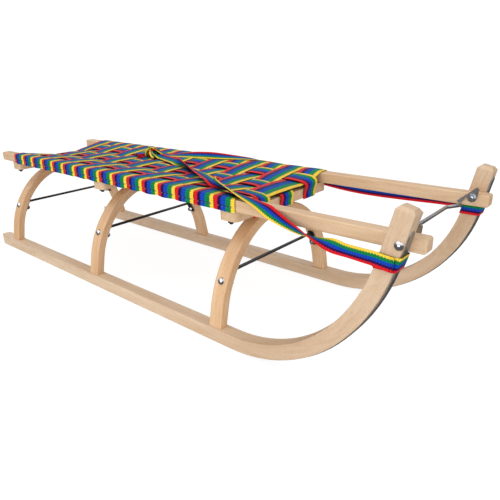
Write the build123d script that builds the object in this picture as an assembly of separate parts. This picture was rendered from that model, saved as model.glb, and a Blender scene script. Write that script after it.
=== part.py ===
"""Bentwood sled with leaning horns, three leg arches and a woven webbing seat.

Millimetres. +X is forward, towards the horns, +Y is left and +Z is up. The origin lies on the
ground, under the middle of the sled's length and width.
"""
import os
from math import atan, cos, degrees, radians, sin, sqrt, tan

from build123d import *

# ---- runners -----------------------------------------------------------------------------
RUNNER_TRACK = 323.0        # between the middles of the two runners
RUNNER_WIDTH = 23.0
RUNNER_HEIGHT = 25.5
RUNNER_REAR_X = -574.0
BEND_RADIUS = 272.0         # of the underside
BEND_START_X = 283.5        # where the right runner leaves the ground
BEND_ANGLE = 75.3           # lean of the right horn
LEFT_BEND_LEAD = 7.5        # the left horn starts this much further forward and leans less,
LEFT_BEND_EXTRA_ANGLE = 3.2     # because bent wood springs back unevenly
HORN_TIP_Z = 285.0          # of the tip's front edge
HORN_TIP_CHAMFER = 5.0
SET_IN_START_Z = 82.0       # the runner turns inwards here
SET_IN_END_Z = 218.0        # and stands upright again here
SET_IN_RADII = (430.0, 150.0)
RUNNER_END_ROUND = 9.0

SHOE_THICKNESS = 1.6
SHOE_WIDTH = 13.5
SHOE_TOP_Z = {"left": 270.0, "right": 258.0}
SHOE_TIP_CHAMFER = 4.0

# ---- legs, crossbars and seat rails --------------------------------------------------------
LEG_STATIONS = {"rear": -494.0, "middle": -125.5, "front": 244.0}
LEG_WIDTH = 28.0            # along the sled
LEG_THICKNESS = 17.5
ARCH_CROWN_RADIUS = 143.0   # middle line, over the crown
ARCH_CROWN_ANGLE = 42.5
ARCH_SIDE_RADIUS = 192.0    # middle line, down the sides
ARCH_SIDE_ANGLE = 36.0
ARCH_CLEARANCE = 0.2        # crown to crossbar

CROSSBAR_WIDTH = 39.0
CROSSBAR_THICKNESS = 18.0
CROSSBAR_END_ROUND = 10.0

RAIL_SPREAD = 247.0         # between the middles of the two rails
RAIL_WIDTH = 21.0
RAIL_HEIGHT = 20.0
RAIL_TOP_Z = 247.5
RAIL_REAR_INSET = 19.5      # from the rear of the runners
RAIL_PAST_BOLT = 25.0       # from the horn bolt to the rail's front end
RAIL_END_ROUND = 4.0

EDGE_ROUND = 2.5            # eased long edges of the bent wood
RAIL_EDGE_ROUND = 2.0

# ---- steel ---------------------------------------------------------------------------------
BOLT_DIAMETER = 6.0
HOLE_CLEARANCE = 0.4        # on the diameter
NUT_ACROSS = 10.0
NUT_HEIGHT = 5.0
BOLT_TAIL = 2.5             # thread past the nut
DOME_DIAMETER = 13.0
DOME_HEIGHT = 4.5

STRUT_DIAMETER = 6.0
STRUT_BOLT_ANGLE = {"rear": 62.0, "middle": 62.0, "front": 65.0}     # round the arch from the crown
STRUT_ELBOW_RISE = {"rear": 17.5, "middle": 17.7, "front": 22.2}     # of the rod's elbow above the bolt
STRUT_TAB_TAIL = 11.0       # tab below its bolt
STRUT_TAB_OVER = 4.5        # tab above the rod's elbow
STRUT_ROD_FOOT = 4.5        # rod lying on the tab below the elbow
STRUT_ELBOW_RADIUS = 4.0
STRUT_TAB_WIDTH = 14.0
STRUT_TAB_THICKNESS = 2.5
SEAT_GAP = 0.15             # between a steel face and the wood it lies on

HORN_BOLT_LEAD = 3.8        # in front of the middle of the two horns at its height
HORN_BOLT_Z = 241.5
STAY_DIAMETER = 6.0
STAY_SETBACK = 29.0         # of its straight middle run behind the bolts
STAY_KINK_Y = 85.0
STAY_TAB_THICKNESS = 3.0
STAY_TAB_OUTLINE = ((-21.5, -8), (5.8, 17.3), (9, 14), (8, 3), (5.8, -5), (0, -7.5), (-5.5, -4.5), (-7.5, 1.5),
                    (-17.5, -12.5))        # x and z from the bolt
STAY_END_SETBACK = 15.0     # where the rod meets the tab
STAY_DROP = 0.5             # of the rod's middle below the rail's underside

# ---- webbing -------------------------------------------------------------------------------
STRAP_COUNT = 16
STRAP_PITCH = 47.0
STRAP_GAP = 0.6             # between neighbouring straps
STRAP_THICKNESS = 1.6
STRAPS_REAR_X = -482.0
SOFT_CLEARANCE = 0.3
SEAT_SAG_REAR = 17.0        # of the middle of the seat, below the rails' tops
SEAT_SAG_FRONT = 14.0
LONG_STRAP_WIDTH = 38.0
LONG_STRAP_SPREAD = 72.0    # from the middle strap to each outer one
LONG_STRAP_DROP = 2.0       # past the underside of the end crossbars

TOW_WIDTH = 20.0
TOW_THICKNESS = 1.6
TOW_LOOP_Z = 216.9          # middle of the loop on the horn's rear face

# ---- levels and places that follow ----------------------------------------------------------
WOOD_Z = SHOE_THICKNESS
RUNNER_TOP_Z = WOOD_Z + RUNNER_HEIGHT
RUNNER_Y = RUNNER_TRACK / 2
RAIL_Y = RAIL_SPREAD / 2
RAIL_BOTTOM_Z = RAIL_TOP_Z - RAIL_HEIGHT
RAIL_OUTER_Y = RAIL_Y + RAIL_WIDTH / 2
RAIL_INNER_Y = RAIL_Y - RAIL_WIDTH / 2
CROSSBAR_BOTTOM_Z = RAIL_BOTTOM_Z - CROSSBAR_THICKNESS
ARCH_CROWN_Z = CROSSBAR_BOTTOM_Z - ARCH_CLEARANCE - LEG_THICKNESS / 2
HORN_SET_IN = RUNNER_Y - RUNNER_WIDTH / 2 - RAIL_OUTER_Y
HORN_Y = RAIL_OUTER_Y + RUNNER_WIDTH / 2
HOLE_DIAMETER = BOLT_DIAMETER + HOLE_CLEARANCE


def save(shape, node):
    """Write one sub-part to its own file."""
    export_step(shape, f"parts/{node}.step")


# ---- runner ---------------------------------------------------------------------------------
def bend_start_x(side):
    return BEND_START_X + (LEFT_BEND_LEAD if side == "left" else 0.0)


def bend_angle(side):
    return radians(BEND_ANGLE + (LEFT_BEND_EXTRA_ANGLE if side == "left" else 0.0))


def bend_point(side, angle, offset=0.0):
    """A point round the bend of a runner's underside, offset outwards."""
    radius = BEND_RADIUS + offset
    return Vector(bend_start_x(side) + radius * sin(angle), 0, WOOD_Z + BEND_RADIUS - radius * cos(angle))


def bend_arc(side, offset):
    """The bend of a runner at an offset from its underside."""
    angle = bend_angle(side)
    return ThreePointArc(bend_point(side, 0, offset), bend_point(side, angle / 2, offset),
                         bend_point(side, angle, offset))


def horn_direction(side):
    angle = bend_angle(side)
    return Vector(cos(angle), 0, sin(angle))


def horn_point(side, z, offset=0.0):
    """A point at height z up the front of a horn, offset outwards: on its bend, or straight above that."""
    start = bend_point(side, bend_angle(side), offset)
    if z < start.Z:
        below_centre = WOOD_Z + BEND_RADIUS - z
        return Vector(bend_start_x(side) + sqrt((BEND_RADIUS + offset) ** 2 - below_centre ** 2), 0, z)
    along = horn_direction(side)
    return start + along * ((z - start.Z) / along.Z)


def horn_bolt_x():
    """Where one straight bolt line passes through both horns."""
    middles = [horn_point(side, HORN_BOLT_Z, -RUNNER_HEIGHT / 2).X for side in ("left", "right")]
    return sum(middles) / 2 + HORN_BOLT_LEAD


def side_profile(side, outer, inner, rear_x, top_z):
    """Side outline between two offsets of the underside, extruded well past the runner's width."""
    front = bend_arc(side, outer)
    rear = bend_arc(side, inner)
    tip_outer = horn_point(side, top_z, outer)
    tip_inner = tip_outer + (rear @ 1 - front @ 1)
    lines = [Line((rear_x, 0, (front @ 0).Z), front @ 0), front, Polyline(front @ 1, tip_outer, tip_inner, rear @ 1),
             rear, Polyline(rear @ 0, (rear_x, 0, (rear @ 0).Z), (rear_x, 0, (front @ 0).Z))]
    outline = make_face([edge for line in lines for edge in line.edges()])
    return extrude(outline, amount=2 * RUNNER_TRACK, dir=(0, 1, 0))


def front_profile(width):
    """Front outline of a left runner or shoe: upright, set in towards the rail, upright again."""
    top_z = HORN_TIP_Z + RUNNER_HEIGHT
    edges = []
    ends = []
    for y in (RUNNER_Y - width / 2, RUNNER_Y + width / 2):
        points = [(0, y, -WOOD_Z), (0, y, SET_IN_START_Z), (0, y - HORN_SET_IN, SET_IN_END_Z),
                  (0, y - HORN_SET_IN, top_z)]
        line = FilletPolyline(*points, radius=list(SET_IN_RADII))
        edges += line.edges()
        ends.append(points)
    edges.append(Edge.make_line(ends[0][0], ends[1][0]))
    edges.append(Edge.make_line(ends[0][-1], ends[1][-1]))
    return extrude(make_face(edges), amount=horn_bolt_x() + RAIL_PAST_BOLT - RUNNER_REAR_X, dir=(1, 0, 0), both=True)


def horn_bolt_cut():
    """Cylinder along Y for the bolt that holds the left rail to its horn."""
    hole = Cylinder(HOLE_DIAMETER / 2, RUNNER_TRACK, rotation=(90, 0, 0))
    return Pos(horn_bolt_x(), RAIL_OUTER_Y, HORN_BOLT_Z) * hole


def runner(side):
    """A runner with its horn, on the left."""
    body = side_profile(side, 0, -RUNNER_HEIGHT, RUNNER_REAR_X, HORN_TIP_Z) & front_profile(RUNNER_WIDTH)
    heel = body.edges().filter_by(Axis.Z).group_by(Axis.X)[0]
    body = fillet(heel, RUNNER_END_ROUND)
    tip_middle = horn_point(side, HORN_TIP_Z, -RUNNER_HEIGHT / 2) + Vector(0, HORN_Y, 0)
    tip = body.faces().sort_by_distance(tip_middle)[0]
    body = chamfer(tip.edges(), HORN_TIP_CHAMFER)
    return body - horn_bolt_cut()


def shoe(side):
    """Steel strip under a runner and up the front of its horn, pointed at its end, on the left."""
    heel_x = RUNNER_REAR_X + RUNNER_END_ROUND
    strip = side_profile(side, SHOE_THICKNESS, 0, heel_x, SHOE_TOP_Z[side]) & front_profile(SHOE_WIDTH)
    corners = [edge for edge in strip.edges() if edge.center().Z > SHOE_TOP_Z[side] - SHOE_THICKNESS
               and edge.length < 2 * SHOE_THICKNESS]
    return chamfer(ShapeList(corners), SHOE_TIP_CHAMFER)


# ---- leg arches -------------------------------------------------------------------------------
def arch_point(angle_degrees, offset=0.0):
    """Point (y, z) of the arch at an angle round from the crown, offset outwards."""
    angle = radians(angle_degrees)
    crown = radians(ARCH_CROWN_ANGLE)
    if angle_degrees <= ARCH_CROWN_ANGLE:
        radius = ARCH_CROWN_RADIUS + offset
        return radius * sin(angle), ARCH_CROWN_Z - ARCH_CROWN_RADIUS + radius * cos(angle)
    shift = ARCH_CROWN_RADIUS - ARCH_SIDE_RADIUS
    radius = ARCH_SIDE_RADIUS + offset
    centre_z = ARCH_CROWN_Z - ARCH_CROWN_RADIUS + shift * cos(crown)
    return shift * sin(crown) + radius * sin(angle), centre_z + radius * cos(angle)


def arch_foot(offset):
    """Where the straight shin meets the top of the runner."""
    last = ARCH_CROWN_ANGLE + ARCH_SIDE_ANGLE
    y, z = arch_point(last, offset)
    return y + (z - RUNNER_TOP_Z) / tan(radians(last)), RUNNER_TOP_Z


def arch_half(offset, side):
    """Edges of one half of an arch outline, from crown to foot."""
    last = ARCH_CROWN_ANGLE + ARCH_SIDE_ANGLE

    def place(point):
        return 0, side * point[0], point[1]

    crown_arc = ThreePointArc(place(arch_point(0, offset)), place(arch_point(ARCH_CROWN_ANGLE / 2, offset)),
                              place(arch_point(ARCH_CROWN_ANGLE, offset)))
    side_arc = ThreePointArc(crown_arc @ 1, place(arch_point(ARCH_CROWN_ANGLE + ARCH_SIDE_ANGLE / 2, offset)),
                             place(arch_point(last, offset)))
    shin = Line(side_arc @ 1, place(arch_foot(offset)))
    return [crown_arc, side_arc, shin]


def leg_arch(name):
    """One bentwood arch: both legs and the crown in a single bent lath."""
    half = LEG_THICKNESS / 2
    lines = []
    for side in (1, -1):
        outer = arch_half(half, side)
        inner = arch_half(-half, side)
        foot = Line(outer[-1] @ 1, inner[-1] @ 1)
        lines += [*outer, *inner, foot]
    outline = make_face([edge for line in lines for edge in line.edges()])
    arch = extrude(outline, amount=LEG_WIDTH / 2, dir=(1, 0, 0), both=True)
    long_edges = [edge for edge in arch.edges() if abs(edge.center().X) > LEG_WIDTH / 2 - 0.01
                  and edge.center().Z > RUNNER_TOP_Z + 0.01]
    arch = fillet(ShapeList(long_edges), EDGE_ROUND)
    for side in (1, -1):
        arch -= along_strut_bolt(name, side) * Cylinder(HOLE_DIAMETER / 2, 3 * LEG_THICKNESS)
    return Pos(LEG_STATIONS[name], 0, 0) * arch


def along_strut_bolt(name, side):
    """Place with its Z axis out through the leg at the strut bolt, on the arch's middle line."""
    y, z = arch_point(STRUT_BOLT_ANGLE[name])
    angle = radians(STRUT_BOLT_ANGLE[name])
    return Location(Plane(origin=(0, side * y, z), x_dir=(1, 0, 0), z_dir=(0, side * sin(angle), cos(angle))))


# ---- crossbars and rails ------------------------------------------------------------------------
def crossbar_x(station_x):
    """Middle of a crossbar, whose rear face is flush with its arch."""
    return station_x - LEG_WIDTH / 2 + CROSSBAR_WIDTH / 2


def crossbar(station_x):
    """Flat bar across an arch, rounded at its ends, under both rails."""
    bar = Box(CROSSBAR_WIDTH, 2 * RAIL_OUTER_Y, CROSSBAR_THICKNESS)
    bar = fillet(bar.edges().filter_by(Axis.Z), CROSSBAR_END_ROUND)
    x = crossbar_x(station_x)
    bar = Pos(x, 0, CROSSBAR_BOTTOM_Z + CROSSBAR_THICKNESS / 2) * bar
    for side in (1, -1):
        bar -= Pos(x, side * RAIL_Y, CROSSBAR_BOTTOM_Z) * Cylinder(HOLE_DIAMETER / 2, 4 * CROSSBAR_THICKNESS)
    return bar


def seat_rail():
    """The left rail, with its upright holes and the horn bolt's hole."""
    front_x = horn_bolt_x() + RAIL_PAST_BOLT
    rear_x = RUNNER_REAR_X + RAIL_REAR_INSET
    length = front_x - rear_x
    rail = Box(length, RAIL_WIDTH, RAIL_HEIGHT)
    rail = fillet(rail.edges().filter_by(Axis.Y), RAIL_END_ROUND)
    long_edges = [edge for edge in rail.edges() if abs(abs(edge.center().Y) - RAIL_WIDTH / 2) < 0.01]
    rail = fillet(ShapeList(long_edges), RAIL_EDGE_ROUND)
    rail = Pos((front_x + rear_x) / 2, RAIL_Y, RAIL_TOP_Z - RAIL_HEIGHT / 2) * rail
    for station_x in LEG_STATIONS.values():
        rail -= Pos(crossbar_x(station_x), RAIL_Y, RAIL_TOP_Z) * Cylinder(HOLE_DIAMETER / 2, 4 * RAIL_HEIGHT)
    return rail - horn_bolt_cut()


# ---- steel ---------------------------------------------------------------------------------------
def dome():
    """Round bolt head, flat on XY, crowned upwards."""
    radius = (DOME_DIAMETER ** 2 / 4 + DOME_HEIGHT ** 2) / (2 * DOME_HEIGHT)
    cap = Pos(0, 0, DOME_HEIGHT - radius) * Sphere(radius)
    return cap & Pos(0, 0, DOME_HEIGHT) * Box(2 * radius, 2 * radius, 2 * DOME_HEIGHT)


def nut():
    """Hexagon nut, flat on XY, reaching downwards."""
    return extrude(RegularPolygon(NUT_ACROSS / 2, 6, major_radius=False), amount=-NUT_HEIGHT)


def bolt(head_level, nut_level):
    """Dome-headed bolt along Z with its nut, from the head's seat to the nut's seat."""
    tail = nut_level - NUT_HEIGHT - BOLT_TAIL
    shank = Pos(0, 0, (head_level + tail) / 2) * Cylinder(BOLT_DIAMETER / 2, head_level - tail)
    return shank + Pos(0, 0, head_level) * dome() + Pos(0, 0, nut_level) * nut()


def tab_span(name):
    """Levels across the leg of a strut's tab and rod; the tab touches the hollow side of the arch at its top."""
    hollow_radius = ARCH_SIDE_RADIUS - LEG_THICKNESS / 2
    stand_off = SEAT_GAP + (STRUT_ELBOW_RISE[name] + STRUT_TAB_OVER) ** 2 / (2 * hollow_radius)
    tab_level = -LEG_THICKNESS / 2 - stand_off - STRUT_TAB_THICKNESS / 2
    return tab_level, tab_level - STRUT_DIAMETER / 2


def strut_bolts(name):
    """The two bolts that hold one strut to its arch."""
    head_level = LEG_THICKNESS / 2 + SEAT_GAP
    nut_level = tab_span(name)[0] - STRUT_TAB_THICKNESS / 2 - SEAT_GAP
    bolts = [along_strut_bolt(name, side) * bolt(head_level, nut_level) for side in (1, -1)]
    return Pos(LEG_STATIONS[name], 0, 0) * Compound(children=bolts)


def strut(name):
    """Round rod between the legs of an arch, its ends bent down and flattened into tabs."""
    tab_level, rod_level = tab_span(name)
    elbow = STRUT_ELBOW_RISE[name]
    tab_top = elbow + STRUT_TAB_OVER
    tab = Box(STRUT_TAB_WIDTH, tab_top + STRUT_TAB_TAIL, STRUT_TAB_THICKNESS)
    tab = fillet(tab.edges().filter_by(Axis.Z), STRUT_TAB_WIDTH / 3)
    plates = []
    route = []
    for side in (1, -1):
        place = along_strut_bolt(name, side)
        plates.append(place * (Pos(0, -side * (tab_top - STRUT_TAB_TAIL) / 2, tab_level) * tab))
        corner = place * Pos(0, -side * elbow, rod_level)
        end = place * Pos(0, -side * (elbow - STRUT_ROD_FOOT), rod_level + STRUT_DIAMETER / 4)
        pair = [end.position, corner.position]
        route += pair if side == 1 else reversed(pair)
    path = FilletPolyline(*route, radius=STRUT_ELBOW_RADIUS)
    section = Plane(origin=path @ 0, z_dir=path % 0) * Circle(STRUT_DIAMETER / 2)
    body = sweep(section, path=path)
    for plate in plates:
        body += plate
    for side in (1, -1):
        body -= along_strut_bolt(name, side) * Cylinder(HOLE_DIAMETER / 2, 2 * LEG_THICKNESS)
    return Pos(LEG_STATIONS[name], 0, 0) * body


def rail_bolts(station_x):
    """The two upright bolts through rail and crossbar, flush with the rail's top."""
    tail = CROSSBAR_BOTTOM_Z - NUT_HEIGHT - BOLT_TAIL
    pieces = []
    for side in (1, -1):
        shank = Pos(0, 0, (RAIL_TOP_Z + tail) / 2) * Cylinder(BOLT_DIAMETER / 2, RAIL_TOP_Z - tail)
        piece = shank + Pos(0, 0, CROSSBAR_BOTTOM_Z) * nut()
        pieces.append(Pos(crossbar_x(station_x), side * RAIL_Y, 0) * piece)
    return Compound(children=pieces)


def horn_bolt():
    """Bolt through the left horn, its rail and the stay's tab."""
    head_level = RUNNER_WIDTH
    nut_level = -RAIL_WIDTH - SEAT_GAP - STAY_TAB_THICKNESS
    along_y = Location(Plane(origin=(horn_bolt_x(), RAIL_OUTER_Y, HORN_BOLT_Z), x_dir=(1, 0, 0), z_dir=(0, 1, 0)))
    return along_y * bolt(head_level, nut_level)


def front_stay():
    """Rod between the horns, kinked forward at both ends into tabs on the rails' inner sides."""
    tab_y = RAIL_INNER_Y - SEAT_GAP - STAY_TAB_THICKNESS / 2
    rod_z = RAIL_BOTTOM_Z - STAY_DROP
    tab_outline = Polyline(*STAY_TAB_OUTLINE, close=True)
    tab = extrude(make_face(tab_outline.edges()), amount=STAY_TAB_THICKNESS / 2, both=True)
    body = None
    for side in (1, -1):
        plane = Plane(origin=(horn_bolt_x(), side * tab_y, HORN_BOLT_Z), x_dir=(1, 0, 0), z_dir=(0, -1, 0))
        plate = Location(plane) * tab
        body = plate if body is None else body + plate
    end_x = horn_bolt_x() - STAY_END_SETBACK
    middle_x = horn_bolt_x() - STAY_SETBACK
    end_y = tab_y - STAY_TAB_THICKNESS / 2
    route = [(end_x, end_y, rod_z), (middle_x, STAY_KINK_Y, rod_z),
             (middle_x, -STAY_KINK_Y, rod_z), (end_x, -end_y, rod_z)]
    path = FilletPolyline(*route, radius=2 * STAY_DIAMETER)
    section = Plane(origin=path @ 0, z_dir=path % 0) * Circle(STAY_DIAMETER / 2)
    body += sweep(section, path=path)
    return body - horn_bolt_cut() - mirror(horn_bolt_cut(), Plane.XZ)


# ---- webbing seat -----------------------------------------------------------------------------------
def seat_level(x, y):
    """Middle of the woven thickness, hanging between the rails."""
    top = RAIL_TOP_Z + SOFT_CLEARANCE + STRAP_THICKNESS / 2
    share = (x - STRAPS_REAR_X) / (STRAP_COUNT * STRAP_PITCH)
    sag = SEAT_SAG_REAR + (SEAT_SAG_FRONT - SEAT_SAG_REAR) * share
    return top - sag * (1 - (y / RAIL_INNER_Y) ** 2)


def long_strap_y(column):
    """Places of the three straps along the sled: 0 left, 1 middle, 2 right."""
    return (1 - column) * LONG_STRAP_SPREAD


def weave_step():
    return STRAP_THICKNESS + SOFT_CLEARANCE


def cross_strap(row):
    """One strap across the seat, over and under the three long ones, and down both rails."""
    half = STRAP_THICKNESS / 2
    flat = LONG_STRAP_WIDTH / 2 + 2 * SOFT_CLEARANCE
    outer = RAIL_OUTER_Y + SOFT_CLEARANCE
    top = RAIL_TOP_Z + SOFT_CLEARANCE
    start_x = STRAPS_REAR_X + row * STRAP_PITCH
    middle_line = [(RAIL_INNER_Y, top + half)]
    for column in range(3):
        y = long_strap_y(column)
        above = (row + column) % 2 == 1      # the long strap is the upper one here
        z = seat_level(start_x + STRAP_PITCH / 2, y) + (-weave_step() if above else weave_step())
        middle_line += [(y + flat, z), (y - flat, z)]
    middle_line.append((-RAIL_INNER_Y, top + half))
    upper = [(outer + STRAP_THICKNESS, RAIL_BOTTOM_Z), (outer + STRAP_THICKNESS, top + STRAP_THICKNESS)]
    upper += [(y, z + half) for y, z in middle_line]
    upper += [(-outer - STRAP_THICKNESS, top + STRAP_THICKNESS), (-outer - STRAP_THICKNESS, RAIL_BOTTOM_Z)]
    lower = [(-outer, RAIL_BOTTOM_Z), (-outer, top)]
    lower += [(y, z - half) for y, z in reversed(middle_line)]
    lower += [(outer, top), (outer, RAIL_BOTTOM_Z)]
    outline = Polyline(*[(start_x, y, z) for y, z in upper + lower], close=True)
    return extrude(make_face(outline.edges()), amount=STRAP_PITCH - STRAP_GAP, dir=(1, 0, 0))


def long_strap(column):
    """One strap along the seat, turned down over the end crossbars and nailed to their faces."""
    rear_x = crossbar_x(LEG_STATIONS["rear"]) - CROSSBAR_WIDTH / 2 - SOFT_CLEARANCE - STRAP_THICKNESS
    front_x = STRAPS_REAR_X + STRAP_COUNT * STRAP_PITCH - STRAP_GAP + SOFT_CLEARANCE + STRAP_THICKNESS
    y = long_strap_y(column)
    half = STRAP_THICKNESS / 2
    low_z = CROSSBAR_BOTTOM_Z - LONG_STRAP_DROP
    rear_z = seat_level(rear_x, y)
    front_z = seat_level(front_x, y)
    points = [(rear_x, low_z), (rear_x, rear_z + half), (front_x, front_z + half), (front_x, low_z),
              (front_x - STRAP_THICKNESS, low_z), (front_x - STRAP_THICKNESS, front_z - half),
              (rear_x + STRAP_THICKNESS, rear_z - half), (rear_x + STRAP_THICKNESS, low_z)]
    outline = Polyline(*[(x, y - LONG_STRAP_WIDTH / 2, z) for x, z in points], close=True)
    return extrude(make_face(outline.edges()), amount=LONG_STRAP_WIDTH, dir=(0, 1, 0))


# ---- tow strap --------------------------------------------------------------------------------------
# Each point is x, y, z and the turn of the strap's width: 0 stands upright, 90 lies flat.
TOW_ROUTE_RIGHT = [
    (518.1, -159.7, 219.5, 0), (494, -154.7, 218, -5), (470, -151.1, 217.7, -7), (445.8, -148.5, 219.5, 65),
    (421.4, -146.7, 222.1, 108), (397.1, -145.2, 226.2, 148), (373.2, -143.2, 232.2, 165), (349.5, -141, 240, 194),
    (325.9, -137.4, 247.4, 255), (302, -132.8, 251.4, 271), (278.1, -127.7, 254.3, 284), (242.5, -117.6, 257.6, 308),
    (207.7, -104.5, 258.3, 330), (185.3, -93.9, 257.7, 362), (163.9, -81.8, 256.5, 451), (143.2, -68.8, 255.1, 452),
    (112.2, -49.2, 252.9, 452), (80.5, -30.9, 250.9, 464), (48, -13.9, 249.9, 478), (14.9, 2.2, 249.5, 498),
    (-18.7, 17, 249.4, 513), (-41.6, 26, 248.8, 545), (-64.7, 34.3, 248, 603), (-99.6, 46, 246.6, 606),
    (-138.7, 58.3, 245.6, 612)]
TOW_ROUTE_LEFT = [
    (524.7, 160.7, 219, 0), (501, 156, 220.5, 3), (464.5, 150, 220.8, 8), (415.5, 145.5, 219.5, -6),
    (366.5, 143, 218.5, -10), (317.5, 142, 219.5, -11), (268.5, 141.6, 223.5, -13), (219.5, 142.4, 229.5, -13),
    (183, 143.5, 235.5, -19), (146.5, 144.2, 241.5, -34), (123, 143.6, 245.6, -50), (99, 140.2, 250, -68),
    (76, 133.2, 252.4, -84), (53, 123.8, 253.2, -97), (18, 110.5, 253.9, -115), (-17.5, 101, 254.5, -130),
    (-65, 91.5, 252.8, -126), (-100.5, 85, 249.7, -110), (-138.7, 77.8, 246.4, -92)]
KNOT_CENTRE = (-181, 56, 253.5)
KNOT_SIZE = (84, 50, 22)


def tow_path(route):
    """Straight runs joined by arcs as large as the runs allow."""
    points = [Vector(*point[:3]) for point in route]
    radii = []
    for before, here, after in zip(points, points[1:], points[2:]):
        run = min((here - before).length, (after - here).length)
        turn = radians((here - before).get_angle(after - here))
        radii.append(0.45 * run / tan(turn / 2))
    return FilletPolyline(*points, radius=radii), radii


def tow_run(route):
    """Flat band along the route, turning about its middle line as the route says."""
    path, radii = tow_path(route)
    print("tow strap length", round(path.length, 1), "smallest radius", round(min(radii), 1))
    nodes = [Vector(*point[:3]) for point in route]
    turns = [point[3] for point in route]
    sections = []
    for edge in path.edges():
        steps = (0, 1) if edge.geom_type == GeomType.LINE else (0.5,)
        for step in steps:
            here = edge @ step
            forward = (edge % step).normalized()
            k, share = nearest_run(nodes, here)
            turn = radians(turns[k] + (turns[k + 1] - turns[k]) * share)
            side = forward.cross(Vector(0, 0, 1)).normalized()
            upright = side.cross(forward)
            width_way = upright * cos(turn) + side * sin(turn)
            plane = Plane(origin=here, x_dir=width_way, z_dir=forward)
            sections.append(plane * Rectangle(TOW_WIDTH, TOW_THICKNESS))
    return loft(sections, ruled=True)


def nearest_run(nodes, here):
    """Which run of the route a point belongs to, and how far along it."""
    best = (0, 0.0, 1e9)
    for k in range(len(nodes) - 1):
        run = nodes[k + 1] - nodes[k]
        share = min(1.0, max(0.0, (here - nodes[k]).dot(run) / run.dot(run)))
        away = (nodes[k] + run * share - here).length
        if away < best[2]:
            best = (k, share, away)
    return best[0], best[1]


def tow_loop(side):
    """Band sewn round a horn just below the rail, on the left."""
    low = TOW_LOOP_Z - TOW_WIDTH / 2
    high = min(TOW_LOOP_Z + TOW_WIDTH / 2, RAIL_BOTTOM_Z - 2 * SOFT_CLEARANCE)
    levels = (low, (low + SET_IN_END_Z) / 2, SET_IN_END_Z, high)

    def slab(gap):
        faces = []
        for z in levels:
            front = horn_point(side, z, SHOE_THICKNESS).X + gap
            back = horn_point(side, z, -RUNNER_HEIGHT).X - gap
            centre = ((front + back) / 2, HORN_Y + horn_offset(z), z)
            faces.append(Plane(origin=centre) * Rectangle(front - back, RUNNER_WIDTH + 2 * gap))
        return loft(faces, ruled=True)

    return slab(SOFT_CLEARANCE + TOW_THICKNESS) - slab(SOFT_CLEARANCE)


def horn_offset(z):
    """How far the horn's middle is outside its place at the rail, at height z near the upper bend."""
    slope = atan(HORN_SET_IN / (SET_IN_END_Z - SET_IN_START_Z))
    radius = SET_IN_RADII[1]
    below = SET_IN_END_Z + radius * tan(slope / 2) - z
    if below <= 0:
        return 0.0
    return radius - sqrt(radius ** 2 - below ** 2)


def tow_knot():
    """Outer shape of the loosely tied middle of the strap."""
    lump = Box(*KNOT_SIZE)
    return Pos(*KNOT_CENTRE) * fillet(lump.edges(), KNOT_SIZE[2] * 0.4)


def main():
    os.makedirs("parts", exist_ok=True)
    for side in ("left", "right"):
        pieces = {"runner": runner(side), "runner_shoe": shoe(side), "seat_rail": seat_rail(),
                  "horn_bolt": horn_bolt(), "tow_loop": tow_loop(side)}
        for name, piece in pieces.items():
            save(piece if side == "left" else mirror(piece, Plane.XZ), f"{name}_{side}")
    for name, station_x in LEG_STATIONS.items():
        save(leg_arch(name), f"leg_arch_{name}")
        save(crossbar(station_x), f"crossbar_{name}")
        save(strut(name), f"strut_{name}")
        save(strut_bolts(name), f"strut_bolts_{name}")
        save(rail_bolts(station_x), f"rail_bolts_{name}")
    save(front_stay(), "front_stay")
    for row in range(STRAP_COUNT):
        save(cross_strap(row), f"cross_strap_{row + 1:02d}")
    for column, name in enumerate(("left", "middle", "right")):
        save(long_strap(column), f"long_strap_{name}")
    save(tow_run(TOW_ROUTE_RIGHT), "tow_run_right")
    save(tow_run(TOW_ROUTE_LEFT), "tow_run_left")
    save(tow_knot(), "tow_knot")


main()
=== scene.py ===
# %% [markdown]
# # A bentwood sled with a woven seat
# The sled has steam-bent runners, arched legs, two rails, and a seat woven from striped webbing.
# The wood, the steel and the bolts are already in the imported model, in metres, with +X towards
# the horns, +Y to the rider's left and +Z up. This notebook gives them their finishes and makes
# what a rigid solid can't show: the woven straps, the loose tow strap, its knot and the stitching.

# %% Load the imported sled
import math
import random
from functools import partial

import bmesh
import bpy
from mathutils import Matrix, Vector


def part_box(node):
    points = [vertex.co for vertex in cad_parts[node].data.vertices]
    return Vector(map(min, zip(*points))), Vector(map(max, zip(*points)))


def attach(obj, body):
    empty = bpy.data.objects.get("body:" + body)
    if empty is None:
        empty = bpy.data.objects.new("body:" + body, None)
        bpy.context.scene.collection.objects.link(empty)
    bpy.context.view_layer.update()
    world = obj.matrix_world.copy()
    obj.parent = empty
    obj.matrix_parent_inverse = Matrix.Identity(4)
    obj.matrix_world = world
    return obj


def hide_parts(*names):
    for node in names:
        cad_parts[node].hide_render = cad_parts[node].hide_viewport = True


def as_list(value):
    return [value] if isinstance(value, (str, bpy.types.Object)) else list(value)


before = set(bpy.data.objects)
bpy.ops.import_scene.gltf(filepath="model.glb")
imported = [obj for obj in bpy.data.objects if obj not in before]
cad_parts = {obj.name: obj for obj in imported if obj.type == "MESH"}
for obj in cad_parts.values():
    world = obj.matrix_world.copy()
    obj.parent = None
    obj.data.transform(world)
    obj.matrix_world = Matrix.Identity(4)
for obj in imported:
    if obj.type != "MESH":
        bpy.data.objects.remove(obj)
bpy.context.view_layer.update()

BODY = "root"
random.seed(7)

# %% [markdown]
# ## Camera
# The view is from the front right, a little above the seat, with a wide lens. Its three turns
# are given as a heading, a pitch and a small roll, and the matrix is built from them.

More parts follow.
